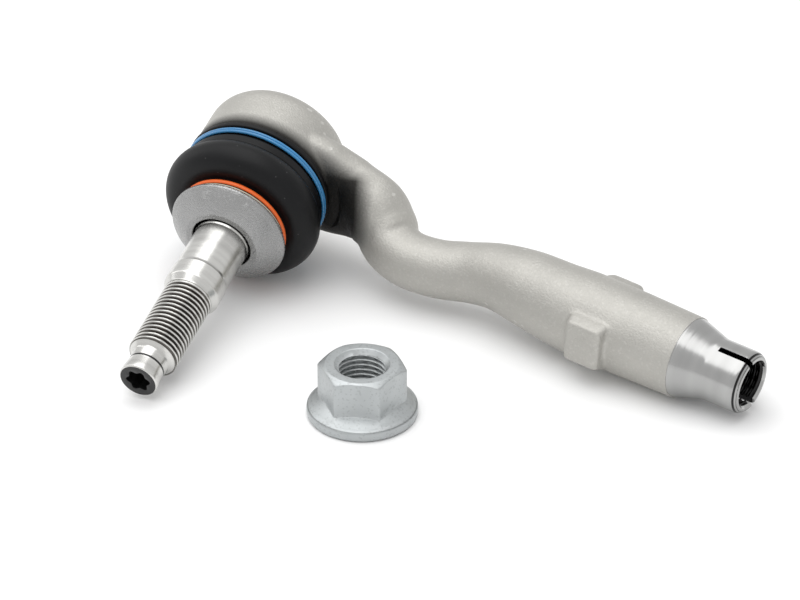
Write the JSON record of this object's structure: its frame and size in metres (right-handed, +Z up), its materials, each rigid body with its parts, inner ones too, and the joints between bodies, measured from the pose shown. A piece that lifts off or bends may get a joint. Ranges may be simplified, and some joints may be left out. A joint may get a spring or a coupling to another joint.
{
  "type": "tie rod end",
  "caption": "Outer tie rod end: a booted ball joint in a forged aluminium arm with a slit threaded collet, and its flange nut.",
  "frame": {"origin": "centre of the ball", "axes": "+X level along the arm towards the collet, +Z up from the surface the part lies on; the stud points to -Y and a little down"},
  "size_m": [0.1806, 0.1048, 0.0491],
  "materials": {
    "forged_aluminium": "forged and shot-blasted, matte; cone and collet machined",
    "bearing_plastic": "moulded acetal, smooth",
    "cover_steel": "pressed steel",
    "stud_steel": "turned, with a rolled thread",
    "collar_steel": "satin, fine grain",
    "boot_rubber": "moulded rubber, satin",
    "blue_wire": "wire ring coated blue",
    "orange_ring": "elastic ring, matte",
    "bush_plastic": "moulded, matte",
    "nut_zinc": "zinc plated, slightly rough"
  },
  "bodies": {
    "housing": {"housing_arm": "forged_aluminium", "bearing_seat": "bearing_plastic", "closing_cover": "cover_steel", "boot_large_ring": "blue_wire"},
    "boot_body": {"boot": "boot_rubber"},
    "small_end": {"boot_bush": "bush_plastic", "boot_small_ring": "orange_ring"},
    "stud": {"ball_stud": "stud_steel", "seat_collar": "collar_steel"},
    "nut": {"flange_nut": "nut_zinc"}
  },
  "joints": [
    {"name": "stud_tilt_a", "type": "hinge", "parent": "housing", "child": "boot_body", "pos_m": [0, 0, 0], "axis": [0.9738, 0.221, 0.0533], "range_deg": [-16, 16], "deforming": ["boot"]},
    {"name": "stud_tilt_b", "type": "hinge", "parent": "boot_body", "child": "small_end", "pos_m": [0, 0, 0], "axis": [-0.0003, -0.2328, 0.9725], "range_deg": [-16, 16], "deforming": ["boot"]},
    {"name": "stud_spin", "type": "hinge", "parent": "small_end", "child": "stud", "pos_m": [0, 0, 0], "axis": [0.2274, -0.9471, -0.2267], "continuous": true},
    {"name": "nut_lift", "type": "slide", "parent": "housing", "child": "nut", "axis": [0, 0, 1], "range_m": [0, 0.02]}
  ]
}
